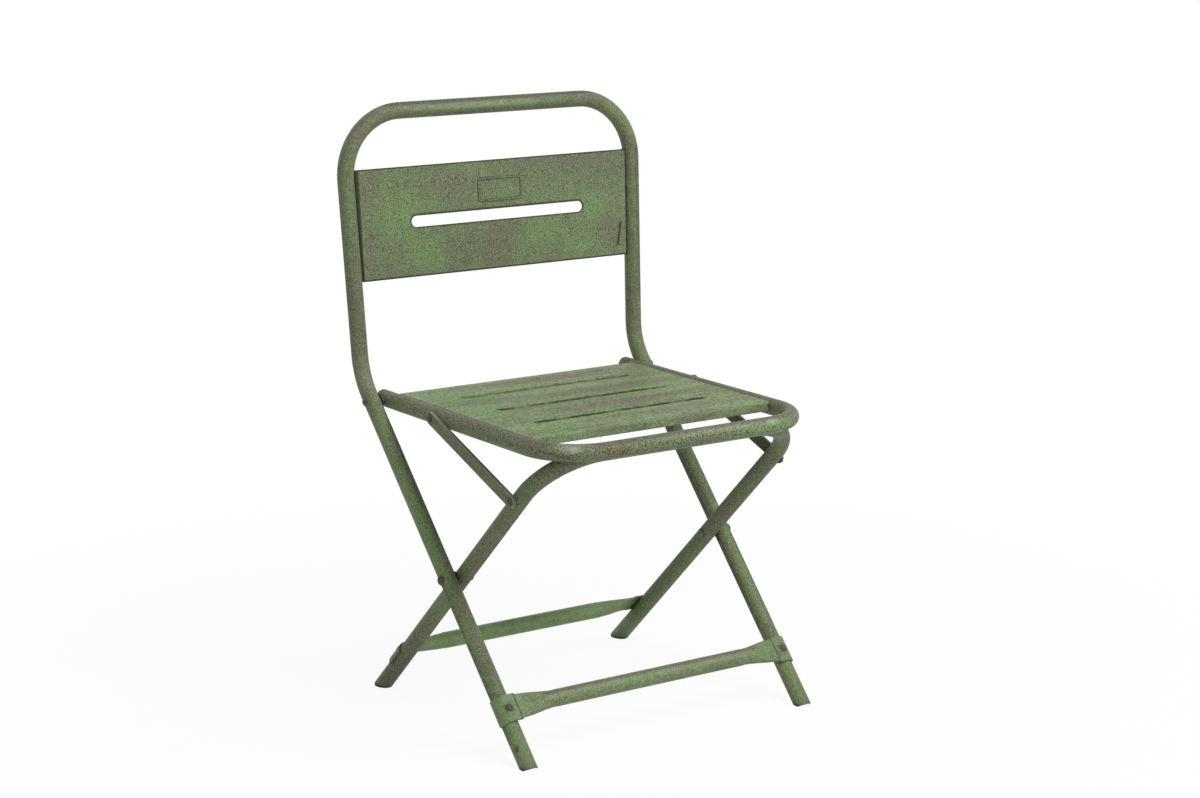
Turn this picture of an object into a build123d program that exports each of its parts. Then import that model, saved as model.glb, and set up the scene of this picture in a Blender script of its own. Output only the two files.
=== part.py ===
from build123d import *
import math
import os

# Folding chair of bent steel tube and sheet, in millimetres and degrees.
# X runs across the chair, the sitter faces -Y, Z is up and the floor is Z = 0.

# Tube and sheet
TUBE_D = 22.0
TUBE_WALL = 1.2
SHEET = 1.2

# Widths between tube axes
SEAT_WIDTH = 390.0
TOP_WIDTH = 459.0

# Side view: legs, pivots and back
FRONT_LEG_ANGLE = 47.7
REAR_LEG_ANGLE = 43.97
LEG_PIVOT_HEIGHT = 199.3
SEAT_PIVOT_HEIGHT = 398.2
PIVOT_TO_BEND = 39.0
BACK_LENGTH = 342.4
BACK_LEAN = 4.3
HOOP_DROP = 9.3
STOP_ANGLE = 18.0
SEAT_TAIL = 13.0
TOE_SET = 3.0
TOE_ANGLE = 28.0

# Bends, to the tube axis
TOP_BEND = 84.0
KNEE_BEND = 85.0
SEAT_BEND = 70.0
HOOP_BEND_EXTRA = 8.0

# Seat plate
PLATE_BELOW_CROWN = 2.0
PLATE_REAR_SET = 13.0
PLATE_FRONT_SET = 4.0
PLATE_LIP = 11.5
PLATE_LIP_GAP = 0.6
PLATE_BEND = 3.0
SEAT_SLOT_LENGTH = 264.0
SEAT_SLOT_WIDTH = 8.0
SEAT_SLOT_RIM = 6.5
SEAT_SLOT_ROUND = 5.0
SEAT_SLOT_FIRST = 68.0
SEAT_SLOT_PITCH = 85.5
SEAT_SLOT_COUNT = 3

# Back panel, placed up the uprights from the knee bend
PANEL_START = 123.2
PANEL_HEIGHT = 146.0
PANEL_FORWARD = 4.6
PANEL_DEPTH = 10.0
PANEL_BEND = 4.2
PANEL_SLOT_LENGTH = 273.0
PANEL_SLOT_WIDTH = 14.8
PANEL_SLOT_UP = 72.7
PANEL_SLOT_SIDE = 2.5
BADGE_LENGTH = 70.0
BADGE_HEIGHT = 32.0
BADGE_CORNER = 5.0
BADGE_LINE = 2.6
BADGE_RELIEF = 1.0
BADGE_ROUND = 0.6
BADGE_UP = 106.6
BADGE_SIDE = 6.0

# Stretchers
FRONT_STRETCHER_UP = 78.5
REAR_STRETCHER_UP = 76.5
STRAP_EXTRA = 3.5
STRAP_RUN = 3.0
FRONT_STRAP_WRAP = 100.0
REAR_STRAP_WRAP = 85.0
FLARE_LENGTH = 55.0
FLARE_STEPS = 5
PRESS_START = 0.6

# Links
LINK_WIDTH = 16.5
LINK_THICK = 4.0
LINK_ON_SEAT = 129.0
LINK_ON_LEG = 184.0

# Rivets and washers
PIVOT_PIN_D = 8.0
SEAT_PIVOT_HEAD_D = 10.5
LEG_PIVOT_HEAD_D = 13.0
LINK_HEAD_D = 11.5
STRAP_PIN_D = 5.0
STRAP_HEAD_D = 10.0
HEAD_RISE = 0.28
SEAT_PIVOT_GAP = 2.4
LEG_PIVOT_GAP = 0.8
WASHER_D = 17.0

# Clearances
PIN_CLEARANCE = 0.05
RUN_GAP = 0.3
LINK_GAP = 0.4
WELD_GAP = 0.1

os.makedirs("parts", exist_ok=True)


def turned(angle):
    """Unit vector in the side view, from straight back towards straight up."""
    return Vector(0, math.cos(math.radians(angle)), math.sin(math.radians(angle)))


def path_of(points, radii):
    """Straight runs through the points, joined by tangent arcs at the inner ones."""
    edges = []
    start = points[0]
    for before, corner, after, radius in zip(points, points[1:], points[2:], radii):
        back = (before - corner).normalized()
        ahead = (after - corner).normalized()
        half = math.radians(back.get_angle(ahead)) / 2
        run = radius / math.tan(half)
        middle = corner + (back + ahead).normalized() * (radius / math.sin(half) - radius)
        edges.append(Edge.make_line(start, corner + back * run))
        edges.append(Edge.make_three_point_arc(corner + back * run, middle, corner + ahead * run))
        start = corner + ahead * run
    edges.append(Edge.make_line(start, points[-1]))
    return Wire(edges)


def rod(points, radii, radius):
    """Solid round bar along a bent path."""
    section = Plane(origin=points[0], z_dir=points[1] - points[0]) * Circle(radius)
    return sweep(section, path=path_of(points, radii))


def across(point, radius, length):
    """Round bar along X, centred on a point."""
    return Plane(origin=point, z_dir=(1, 0, 0)) * Cylinder(radius, length)


def head(diameter, seat=0.0):
    """Domed rivet head on the XY plane, with a collar that reaches down by the seat depth."""
    rise = HEAD_RISE * diameter
    ball = (diameter**2 / 4 + rise**2) / (2 * rise)
    dome = Cylinder(diameter / 2, rise, align=(Align.CENTER, Align.CENTER, Align.MIN))
    dome &= Pos(0, 0, rise - ball) * Sphere(ball)
    if seat > 0:
        dome += Cylinder(diameter / 2, seat, align=(Align.CENTER, Align.CENTER, Align.MAX))
    return dome


def on_side(point, x, outward=1):
    """Plane across X at a pivot, facing outward or inward."""
    return Plane(origin=(x, point.Y, point.Z), z_dir=(outward, 0, 0))


def mirrored(points):
    """The same points on the other side of the chair, in reverse order."""
    return [Vector(-p.X, p.Y, p.Z) for p in reversed(points)]


def save(name, shape):
    """One solid, one file."""
    export_step(shape.solid(), f"parts/{name}.step")


def save_pair(name, shape, pattern="{side}_{name}"):
    """The sitter's left piece as drawn, and the right one as its mirror image."""
    save(pattern.format(side="left", name=name), shape)
    save(pattern.format(side="right", name=name), mirror(shape, about=Plane.YZ))


# Side view, worked out from the leg pivot
tube_r = TUBE_D / 2
bore_r = tube_r - TUBE_WALL
front_up = turned(FRONT_LEG_ANGLE)
rear_up = turned(180 - REAR_LEG_ANGLE)
back_up = turned(90 - BACK_LEAN)
front_rise = math.sin(math.radians(FRONT_LEG_ANGLE))
rear_rise = math.sin(math.radians(REAR_LEG_ANGLE))
leg_to_seat = (SEAT_PIVOT_HEIGHT - LEG_PIVOT_HEIGHT) / front_rise
leg_to_bend = leg_to_seat + PIVOT_TO_BEND
leg_to_hoop = (SEAT_PIVOT_HEIGHT - HOOP_DROP - LEG_PIVOT_HEIGHT) / rear_rise
stop = turned(180 - STOP_ANGLE) * (TUBE_D + RUN_GAP)

# The origin is under the middle of the chair's depth, front bar to top bar
front_end = (rear_up * leg_to_hoop + stop).Y - tube_r
rear_end = (front_up * leg_to_bend + back_up * BACK_LENGTH).Y + tube_r
leg_pivot = Vector(0, -(front_end + rear_end) / 2, LEG_PIVOT_HEIGHT)
seat_pivot = leg_pivot + front_up * leg_to_seat
bend = leg_pivot + front_up * leg_to_bend
top = bend + back_up * BACK_LENGTH
hoop = leg_pivot + rear_up * leg_to_hoop
front_bar = hoop + stop
seat_ahead = (front_bar - seat_pivot).normalized()
seat_up = Vector(1, 0, 0).cross(seat_ahead * -1)
seat_length = (front_bar - seat_pivot).length
link_seat = seat_pivot + seat_ahead * LINK_ON_SEAT
link_leg = leg_pivot + rear_up * LINK_ON_LEG

# Across the chair, from the inside out
inner_x = SEAT_WIDTH / 2
inner_crown = inner_x + tube_r
leg_x = inner_x + TUBE_D + LEG_PIVOT_GAP
seat_pivot_x = inner_x + TUBE_D + SEAT_PIVOT_GAP
splay = (seat_pivot_x - leg_x) / leg_to_seat
link_x = inner_crown + LINK_GAP
pin_r = PIVOT_PIN_D / 2
hole_r = pin_r + PIN_CLEARANCE
strap_pin_r = STRAP_PIN_D / 2
strap_hole_r = strap_pin_r + PIN_CLEARANCE


def at_side(point, x):
    """A point of the side view, set out to one side."""
    return Vector(x, point.Y, point.Z)


def on_front_leg(distance):
    """Axis of the left front leg, at a distance up from the leg pivot."""
    return at_side(leg_pivot + front_up * distance, leg_x + splay * distance)


def on_rear_leg(distance):
    """Axis of the left rear leg, at a distance up from the leg pivot."""
    return at_side(leg_pivot + rear_up * distance, inner_x)


# Tube runs, each from the left end to the right end, with leg ends below the floor
front_foot = -LEG_PIVOT_HEIGHT / front_rise
rear_foot = -LEG_PIVOT_HEIGHT / rear_rise
back_side = [on_front_leg(front_foot - TUBE_D), on_front_leg(leg_to_bend), at_side(top, TOP_WIDTH / 2)]
back_run = back_side + mirrored(back_side)
back_radii = [KNEE_BEND, TOP_BEND, TOP_BEND, KNEE_BEND]
seat_side = [at_side(seat_pivot - seat_ahead * SEAT_TAIL, inner_x), at_side(front_bar, inner_x)]
seat_run = seat_side + mirrored(seat_side)
seat_radii = [SEAT_BEND, SEAT_BEND]
hoop_side = [on_rear_leg(rear_foot - TUBE_D), on_rear_leg(leg_to_hoop)]
hoop_run = hoop_side + mirrored(hoop_side)
hoop_radii = [SEAT_BEND + HOOP_BEND_EXTRA, SEAT_BEND + HOOP_BEND_EXTRA]
under_floor = Box(
    2 * TOP_WIDTH, 4 * SEAT_WIDTH, 4 * TUBE_D, align=(Align.CENTER, Align.CENTER, Align.MAX)
)


def under_toe(leg_end, rising):
    """Block that takes off the sharp toe of a foot, from just ahead of its middle."""
    toe = math.copysign(TOE_SET, rising)
    return Pos(0, leg_end.Y + toe, 0) * Rot(math.copysign(TOE_ANGLE, rising), 0, 0) * under_floor


back_skin = rod(back_run, back_radii, tube_r)
seat_skin = rod(seat_run, seat_radii, tube_r)
hoop_skin = rod(hoop_run, hoop_radii, tube_r)
back_frame = back_skin - rod(back_run, back_radii, bore_r) - under_floor
back_frame -= under_toe(on_front_leg(front_foot), -1)
seat_frame = seat_skin - rod(seat_run, seat_radii, bore_r)
rear_leg_frame = hoop_skin - rod(hoop_run, hoop_radii, bore_r) - under_floor
rear_leg_frame -= under_toe(on_rear_leg(rear_foot), 1)

# Pivot holes through both walls of each tube, on both sides
for side in (1, -1):
    back_frame -= across(at_side(seat_pivot, side * seat_pivot_x), hole_r, 2 * TUBE_D)
    back_frame -= across(at_side(leg_pivot, side * leg_x), hole_r, 2 * TUBE_D)
    seat_frame -= across(at_side(seat_pivot, side * inner_x), hole_r, 2 * TUBE_D)
    seat_frame -= across(at_side(link_seat, side * inner_x), hole_r, 2 * TUBE_D)
    rear_leg_frame -= across(at_side(leg_pivot, side * inner_x), hole_r, 2 * TUBE_D)


def pivot_rivet(pivot, outer_x, head_d):
    """Rivet held in the front leg, with its closing head clear of the inner tube."""
    inner_end = inner_x - tube_r - RUN_GAP
    outer_end = outer_x + tube_r
    outer_head = on_side(pivot, outer_end) * head(head_d, seat=tube_r / 2) - back_skin
    middle = at_side(pivot, (inner_end + outer_end) / 2)
    shank = across(middle, pin_r, outer_end - inner_end)
    return outer_head + shank + on_side(pivot, inner_end, -1) * head(head_d)


def pivot_washer(pivot, outer_x, gap):
    """Flat ring on the rivet, seated on the front leg and clear of the inner tube."""
    thick = gap - RUN_GAP - WELD_GAP
    middle = at_side(pivot, outer_x - tube_r - WELD_GAP - thick / 2)
    return across(middle, WASHER_D / 2, thick) - across(middle, hole_r, 2 * thick)


# Links and their rivets
link_span = (link_leg - link_seat).length
link_face = Plane(
    origin=at_side((link_seat + link_leg) * 0.5, link_x), x_dir=link_leg - link_seat, z_dir=(1, 0, 0)
)
link = extrude(link_face * SlotCenterToCenter(link_span, LINK_WIDTH), LINK_THICK)
for end in (link_seat, link_leg):
    link -= across(at_side(end, link_x), hole_r, 4 * LINK_THICK)
link_out_x = link_x + LINK_THICK

seat_inside = inner_x - tube_r
link_seat_rivet = on_side(link_seat, seat_inside, -1) * head(PIVOT_PIN_D * 1.5, seat=tube_r / 2) - seat_skin
link_seat_rivet += across(
    at_side(link_seat, (seat_inside + link_out_x + RUN_GAP) / 2), pin_r, link_out_x + RUN_GAP - seat_inside
)
link_seat_rivet += on_side(link_seat, link_out_x + RUN_GAP) * head(LINK_HEAD_D)

link_leg_rivet = across(at_side(link_leg, link_x + LINK_THICK / 2), pin_r, LINK_THICK)
link_leg_rivet += on_side(link_leg, link_out_x) * head(LINK_HEAD_D)

# Stretchers: tubes with their ends flattened, flared and wrapped round the legs
strap_thick = 2 * TUBE_WALL + RUN_GAP
strap_r = tube_r + WELD_GAP + strap_thick / 2


def flattened(pressed, wider=0.0):
    """The tube's section pressed by a share, nearly round to flat with the same length round it, or wider."""
    round_thick = TUBE_D - 2 * PRESS_START
    thick = round_thick + (strap_thick - round_thick) * pressed
    flat_run = PRESS_START + (math.pi * (TUBE_D - strap_thick) / 2 - PRESS_START) * pressed
    return SlotCenterToCenter(flat_run + wider, thick)


def stretcher_end(leg_point, outward, wrap_angle):
    """Left half of a stretcher, from the middle of the chair to the end of its strap."""
    along_leg = Vector(1, 0, 0).cross(outward)
    strap_start = leg_point.X - tube_r - STRAP_RUN
    flare_start = strap_start - FLARE_LENGTH
    axis = leg_point + outward * strap_r

    def section(x, pressed, wider=0.0):
        place = Plane(origin=at_side(axis, x), x_dir=along_leg, z_dir=(1, 0, 0))
        return place * flattened(pressed, wider)

    tube_half = across(at_side(axis, flare_start / 2), tube_r, flare_start)
    sections = []
    for step in range(FLARE_STEPS + 1):
        part = step / FLARE_STEPS
        sections.append(section(flare_start + FLARE_LENGTH * part, part * part * (3 - 2 * part)))
    flare = loft(sections)
    swing = math.radians(wrap_angle)
    bow = leg_point + (outward * math.cos(swing / 2) + Vector(math.sin(swing / 2), 0, 0)) * strap_r
    tip = leg_point + (outward * math.cos(swing) + Vector(math.sin(swing), 0, 0)) * strap_r
    run = Edge.make_line(at_side(axis, strap_start), axis)
    wrap = Edge.make_three_point_arc(axis, bow, tip)
    strap = sweep(section(strap_start, 1, STRAP_EXTRA), path=Wire([run, wrap]))
    return tube_half + flare + strap, flare_start


def stretcher(leg_point, outward, wrap_angle):
    """Whole stretcher with its hollow, its rivet holes and the rivet of its left end."""
    half, flare_start = stretcher_end(leg_point, outward, wrap_angle)
    axis = leg_point + outward * strap_r
    whole = half + mirror(half, about=Plane.YZ)
    whole -= across(at_side(axis, 0), bore_r, 2 * flare_start)
    out_face = strap_r + strap_thick / 2
    place = Plane(origin=leg_point + outward * out_face, z_dir=outward)
    shank_depth = out_face - bore_r + strap_pin_r
    drop = (Align.CENTER, Align.CENTER, Align.MAX)
    hole = place * Cylinder(strap_hole_r, shank_depth, align=drop)
    rivet = place * head(STRAP_HEAD_D, seat=strap_thick / 2) - whole
    rivet += place * Cylinder(strap_pin_r, shank_depth, align=drop)
    whole -= hole
    whole -= mirror(hole, about=Plane.YZ)
    return whole, rivet, hole


front_out = Vector(1, 0, 0).cross(front_up)
front_out = front_out if front_out.Y < 0 else front_out * -1
rear_out = Vector(1, 0, 0).cross(rear_up)
rear_out = rear_out if rear_out.Y > 0 else rear_out * -1
front_stretcher, front_strap_rivet, front_hole = stretcher(
    on_front_leg(front_foot + FRONT_STRETCHER_UP), front_out, FRONT_STRAP_WRAP
)
rear_stretcher, rear_strap_rivet, rear_hole = stretcher(
    on_rear_leg(rear_foot + REAR_STRETCHER_UP), rear_out, REAR_STRAP_WRAP
)
back_frame = back_frame - front_hole - mirror(front_hole, about=Plane.YZ)
rear_leg_frame = rear_leg_frame - rear_hole - mirror(rear_hole, about=Plane.YZ)

# Seat plate: bent sheet between the seat's side tubes
plate_rise = tube_r - PLATE_BELOW_CROWN
plate_length = seat_length - SEAT_BEND - PLATE_FRONT_SET - PLATE_REAR_SET
plate_under = plate_rise - SHEET
plate_half = inner_x - math.sqrt(tube_r**2 - plate_under**2) - WELD_GAP
lip_half = seat_inside - PLATE_LIP_GAP
plate_middle = seat_pivot + seat_ahead * (PLATE_REAR_SET + plate_length / 2) + seat_up * plate_rise
plate_side = Plane(origin=plate_middle, x_dir=seat_ahead * -1, z_dir=(1, 0, 0))
plate_top = Plane(origin=plate_middle, x_dir=(1, 0, 0), z_dir=seat_up)


def plate_outline(inset):
    """Side outline of the plate, from its top down past its lips."""
    outline = Rectangle(plate_length - 2 * inset, PLATE_LIP, align=(Align.CENTER, Align.MAX))
    outline = Pos(0, -inset) * outline
    return fillet(outline.vertices().group_by(Axis.Y)[-1], PLATE_BEND - inset)


profile = plate_outline(0) - plate_outline(SHEET)
profile -= Pos(0, -PLATE_LIP) * Rectangle(2 * plate_length, PLATE_LIP, align=(Align.CENTER, Align.MAX))
seat_plate = extrude(plate_side * profile, lip_half, both=True)
flat = Rectangle(2 * plate_half, plate_length - 2 * PLATE_BEND)
seat_plate += extrude(plate_top * flat, -SHEET)
slot_places = []
for index in range(SEAT_SLOT_COUNT):
    from_rear = SEAT_SLOT_FIRST + index * SEAT_SLOT_PITCH
    slot_places.append(Pos(0, plate_length / 2 - from_rear))
rim = SlotOverall(SEAT_SLOT_LENGTH + 2 * SHEET, SEAT_SLOT_WIDTH + 2 * SHEET)
opening = SlotOverall(SEAT_SLOT_LENGTH, SEAT_SLOT_WIDTH)
for place in slot_places:
    seat_plate += extrude(plate_top * (place * rim), -SEAT_SLOT_RIM)
for place in slot_places:
    seat_plate -= extrude(plate_top * (place * opening), -2 * SEAT_SLOT_RIM)


def slot_edges(depth):
    """Edges round the seat slots, at one depth below the top of the plate."""
    found = []
    for edge in seat_plate.edges():
        spot = plate_top.to_local_coords(edge.center())
        inside = abs(spot.X) <= SEAT_SLOT_LENGTH / 2 + 2 * SHEET
        near = abs(spot.Y) < plate_length / 2 - SEAT_SLOT_FIRST / 2
        if inside and near and abs(spot.Z + depth) < WELD_GAP:
            found.append(edge)
    return found


seat_plate = fillet(slot_edges(SHEET), SEAT_SLOT_ROUND - SHEET)
seat_plate = fillet(slot_edges(0), SEAT_SLOT_ROUND)

# Back panel: sheet between the uprights, its side edges turned back along them
panel_front = Plane(
    origin=bend + back_up * PANEL_START, x_dir=(1, 0, 0), z_dir=Vector(1, 0, 0).cross(back_up)
).offset(PANEL_FORWARD)
panel_taper = (back_side[2].X - back_side[1].X) / BACK_LENGTH
panel_half = back_side[1].X + panel_taper * PANEL_START - tube_r - WELD_GAP


def panel_block(inset, beyond):
    """Block behind the panel's face with rounded side edges, set in by a depth and past its ends."""
    low, high = -beyond, PANEL_HEIGHT + beyond
    low_x, high_x = (panel_half + panel_taper * up - inset for up in (low, high))
    outline = make_face(Polyline((-low_x, low), (low_x, low), (high_x, high), (-high_x, high), close=True))
    block = extrude(panel_front.offset(-inset) * outline, -PANEL_DEPTH)
    face = block.faces().sort_by(Axis((0, 0, 0), panel_front.z_dir))[-1]
    sides = face.edges().sort_by(Axis.X)
    return fillet([sides[0], sides[-1]], PANEL_BEND - inset)


back_panel = panel_block(0, 0) - panel_block(SHEET, PANEL_DEPTH)
back_panel -= rod(back_run, back_radii, tube_r + WELD_GAP)
panel_slot = Pos(PANEL_SLOT_SIDE, PANEL_SLOT_UP) * SlotOverall(PANEL_SLOT_LENGTH, PANEL_SLOT_WIDTH)
back_panel -= extrude(panel_front * panel_slot, -PANEL_DEPTH)
badge = RectangleRounded(BADGE_LENGTH, BADGE_HEIGHT, BADGE_CORNER)
badge -= RectangleRounded(
    BADGE_LENGTH - 2 * BADGE_LINE, BADGE_HEIGHT - 2 * BADGE_LINE, BADGE_CORNER - BADGE_LINE / 2
)
border = extrude(panel_front.offset(-SHEET / 2) * (Pos(BADGE_SIDE, BADGE_UP) * badge), BADGE_RELIEF + SHEET / 2)
crest = border.faces().sort_by(Axis((0, 0, 0), panel_front.z_dir))[-1]
back_panel += fillet(crest.edges(), BADGE_ROUND)

save("back_frame", back_frame)
save("back_panel", back_panel)
save("seat_frame", seat_frame)
save("seat_plate", seat_plate)
save("rear_leg_frame", rear_leg_frame)
save("front_stretcher", front_stretcher)
save("rear_stretcher", rear_stretcher)
save_pair("link", link)
save_pair("seat_pivot_rivet", pivot_rivet(seat_pivot, seat_pivot_x, SEAT_PIVOT_HEAD_D))
save_pair("leg_pivot_rivet", pivot_rivet(leg_pivot, leg_x, LEG_PIVOT_HEAD_D))
save_pair("seat_pivot_washer", pivot_washer(seat_pivot, seat_pivot_x, SEAT_PIVOT_GAP))
save_pair("leg_pivot_washer", pivot_washer(leg_pivot, leg_x, LEG_PIVOT_GAP))
save_pair("link_seat_rivet", link_seat_rivet)
save_pair("link_leg_rivet", link_leg_rivet)
save_pair("stretcher_rivet", front_strap_rivet, "front_{side}_{name}")
save_pair("stretcher_rivet", rear_strap_rivet, "rear_{side}_{name}")
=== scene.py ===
"""Weathered steel folding chair: its paint, rust, weld beads and stage, laid out as an add-on.

Lengths are in metres, in the chair's own frame: -X is the sitter's right, -Y the front, and Z is up.
"""

import math

import bpy
from bpy.props import FloatProperty, FloatVectorProperty, PointerProperty
from mathutils import Matrix, Vector


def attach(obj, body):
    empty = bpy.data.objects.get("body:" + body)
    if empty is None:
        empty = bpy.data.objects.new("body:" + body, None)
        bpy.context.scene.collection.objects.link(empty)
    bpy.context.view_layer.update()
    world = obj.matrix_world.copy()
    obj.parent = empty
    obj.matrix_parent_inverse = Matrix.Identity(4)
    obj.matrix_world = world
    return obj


bl_info = {
    "name": "Weathered folding chair",
    "version": (1, 0, 0),
    "blender": (4, 5, 0),
    "location": "View3D > Sidebar > Chair",
    "description": "Finishes a folding chair of bent tube and sheet in worn green paint",
    "category": "Object",
}

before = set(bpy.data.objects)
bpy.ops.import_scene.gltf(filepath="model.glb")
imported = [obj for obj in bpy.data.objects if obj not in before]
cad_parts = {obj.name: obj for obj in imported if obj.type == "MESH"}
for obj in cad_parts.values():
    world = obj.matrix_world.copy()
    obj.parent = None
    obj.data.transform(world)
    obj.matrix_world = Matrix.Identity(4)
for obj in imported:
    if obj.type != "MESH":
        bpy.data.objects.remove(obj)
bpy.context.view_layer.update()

# Axis of each leg: distance from the middle at the floor and its change with height,
# then depth at the floor and its change with height
LEGS = {"front": (0.2162, 0.00794, -0.1889, 0.90994), "rear": (0.195, 0.0, 0.1990, -1.0366)}
# Axis of each stretcher: depth and height
STRETCHERS = {"front": (-0.1453, 0.0664), "rear": (0.1526, 0.0621)}
STRETCHER_SPAN = 0.165
STRAP_START = 0.175
STRAP_FADE = 0.008
STRAP_RIVET = (0.2167, -0.1463, 0.0674)
STRAP_SEAM = 0.0128
TUBE_RADIUS = 0.011
POST_TAPER = 0.0291
POST_LEAN = 0.0752
# The left leg pivot's rivet is painted over with the rear legs
PAINTED_RIVET = "left_leg_pivot_rivet"

SEAT_RISE = 0.00604
SEAT_NORMAL = (0.0, -SEAT_RISE, 1.0)
SEAT_HEIGHT = 0.405
# Depth of each slot of the seat, and how dark its rim is painted, in painted shade and grime
SEAT_SLOTS = ((0.0924, 0.55), (0.0069, 0.90), (-0.0786, 0.93))
SEAT_SLOT_HALF = 0.128
SEAT_SLOT_RADIUS = 0.004
SEAT_EDGE = 0.1868
PANEL_SLOT = (0.0025, 0.21, 0.6233)
PANEL_SLOT_HALF = 0.1291
PANEL_SLOT_RADIUS = 0.0074

PLATE_WELDS = (0.125, -0.008, -0.1405)
PLATE_WELD_SIDE = 0.1857
PLATE_WELD_HEIGHT = 0.40365
PANEL_WELDS = ((0.2134, 0.2174, 0.5796), (0.2159, 0.2237, 0.6646))
BEAD_PUDDLES = 9
BEAD_STEP = 1.1
BEAD_SHAPE = (1.0, 0.80, 0.90)
BEAD_VOXEL = 0.18

# Fineness of the patterns in the paint, as the Scale of their noise
CLOUDS = 9.0
WISPS = 38.0
MOTTLE = 95.0
CHALK = 150.0
SCUFFS = 115.0
EDGE_BREAKS = 160.0
SLOT_BREAKS = 32.0
STREAK_RIM = 80.0
STAIN_RIM = 60.0
FINE_RIM = 200.0
GLINT_RIM = 320.0
FOOT_RIM = 130.0

EVEN = (1.0, 1.0, 1.0)
TUBE_GRAZE = (1.0, 0.10, 0.10)
UP = (0.0, 0.0, 1.0)
DOWN = (0.0, 0.0, -1.0)
BACKWARD = (0.0, 1.0, 0.0)
BUMP_STRENGTH = 0.55

WHITE = (1.0, 1.0, 1.0)
FLOOR_SIZE = 200.0
FLOOR_NEAR = 0.45
FLOOR_FAR = 1.4
FLOOR_GLOW = 0.92
FLOOR_ROUGHNESS = 0.9
FLOOR_GLOSS = 0.1
# Name of each light, the setting that gives its power, and its place
LIGHTS = (
    ("Key light", "key", (0.75, -1.75, 2.75)),
    ("Fill light", "fill", (-2.2, -1.6, 1.3)),
    ("Back light", "back", (-0.6, 2.3, 1.7)),
)
LIGHT_SIZE = 1.5
LIGHT_AIM = (0.0, 0.0, 0.4)
SENSOR_WIDTH = 36.0

VALUE = "NodeSocketFloat"
COLOUR = "NodeSocketColor"
VECTOR = "NodeSocketVector"
# Sockets of a Mix node that mixes colours
MIX_FACTOR = 0
MIX_FIRST = 6
MIX_SECOND = 7
MIX_RESULT = 2


# Properties that a user would change


class PaintSettings(bpy.types.PropertyGroup):
    """Colours and grain of the worn paint."""

    green: FloatVectorProperty(
        name="Green",
        description="Paint that is still sound",
        subtype="COLOR",
        default=(0.200, 0.283, 0.134),
    )
    fresh: FloatVectorProperty(
        name="Fresh green",
        description="Paint kept bright in patches",
        subtype="COLOR",
        default=(0.205, 0.345, 0.125),
    )
    pale: FloatVectorProperty(
        name="Pale green",
        description="Paint rubbed thin and chalky",
        subtype="COLOR",
        default=(0.345, 0.400, 0.275),
    )
    patina: FloatVectorProperty(
        name="Patina",
        description="Brown grey stain over the paint",
        subtype="COLOR",
        default=(0.176, 0.182, 0.122),
    )
    umber: FloatVectorProperty(
        name="Umber",
        description="Bare brown patches rubbed through",
        subtype="COLOR",
        default=(0.190, 0.162, 0.123),
    )
    grime: FloatVectorProperty(
        name="Grime",
        description="Dark dirt in the pits of the paint",
        subtype="COLOR",
        default=(0.042, 0.039, 0.028),
    )
    rust: FloatVectorProperty(
        name="Rust",
        description="Rust where the paint is gone",
        subtype="COLOR",
        default=(0.150, 0.078, 0.045),
    )
    grain: FloatProperty(
        name="Grain",
        description="Spacing of the pits in the paint",
        unit="LENGTH",
        default=0.0016,
        min=0.0005,
    )
    relief: FloatProperty(
        name="Relief",
        description="Depth of the pits in the paint",
        unit="LENGTH",
        default=0.00022,
        min=0.0,
    )
    bead: FloatProperty(
        name="Weld bead",
        description="Radius of the weld beads",
        unit="LENGTH",
        default=0.0021,
        min=0.0005,
    )
    edge: FloatProperty(
        name="Edge wear",
        description="Width of the worn band along edges",
        unit="LENGTH",
        default=0.0026,
        min=0.0002,
    )


class StageSettings(bpy.types.PropertyGroup):
    """Floor, light and camera."""

    floor: FloatVectorProperty(
        name="Floor",
        description="Colour of the floor",
        subtype="COLOR",
        default=(0.92, 0.92, 0.92),
    )
    ambient: FloatProperty(
        name="Ambient",
        description="Strength of the light from all round",
        default=0.36,
        min=0.0,
    )
    key: FloatProperty(
        name="Key light",
        description="Power of the main light",
        unit="POWER",
        default=66.0,
        min=0.0,
    )
    fill: FloatProperty(
        name="Fill light",
        description="Power of the side light",
        unit="POWER",
        default=4.0,
        min=0.0,
    )
    back: FloatProperty(
        name="Back light",
        description="Power of the rear light",
        unit="POWER",
        default=9.0,
        min=0.0,
    )
    azimuth: FloatProperty(
        name="Azimuth",
        description="Camera angle round the chair",
        subtype="ANGLE",
        default=math.radians(-35.0715),
    )
    elevation: FloatProperty(
        name="Elevation",
        description="Camera angle above the horizon",
        subtype="ANGLE",
        default=math.radians(11.9819),
    )
    roll: FloatProperty(name="Roll", description="Camera turn", subtype="ANGLE", default=math.radians(0.1))
    distance: FloatProperty(name="Distance", description="Camera to target", unit="LENGTH", default=3.5159)
    target: FloatVectorProperty(
        name="Target",
        description="Point that the camera looks at",
        subtype="XYZ",
        default=(0.05634, 0.0489, 0.38971),
    )
    lens: FloatProperty(name="Lens", description="Focal length in millimetres", default=79.56, min=10.0)


# Shader helpers


def feed(tree, socket, value):
    """Links a socket to another one, or sets its plain value."""
    if isinstance(value, bpy.types.NodeSocket):
        tree.links.new(value, socket)
    else:
        socket.default_value = value


def put(tree, kind, settings=None, **inputs):
    """A node with its settings, its plain values set and its sockets linked."""
    node = tree.nodes.new(kind)
    for name, value in (settings or {}).items():
        setattr(node, name, value)
    for name, value in inputs.items():
        feed(tree, node.inputs[name.replace("_", " ")], value)
    return node


def math_node(tree, operation, *values, clamp=False):
    """Result socket of one Math node."""
    node = put(tree, "ShaderNodeMath", {"operation": operation, "use_clamp": clamp})
    for socket, value in zip(node.inputs, values):
        feed(tree, socket, value)
    return node.outputs[0]


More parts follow.
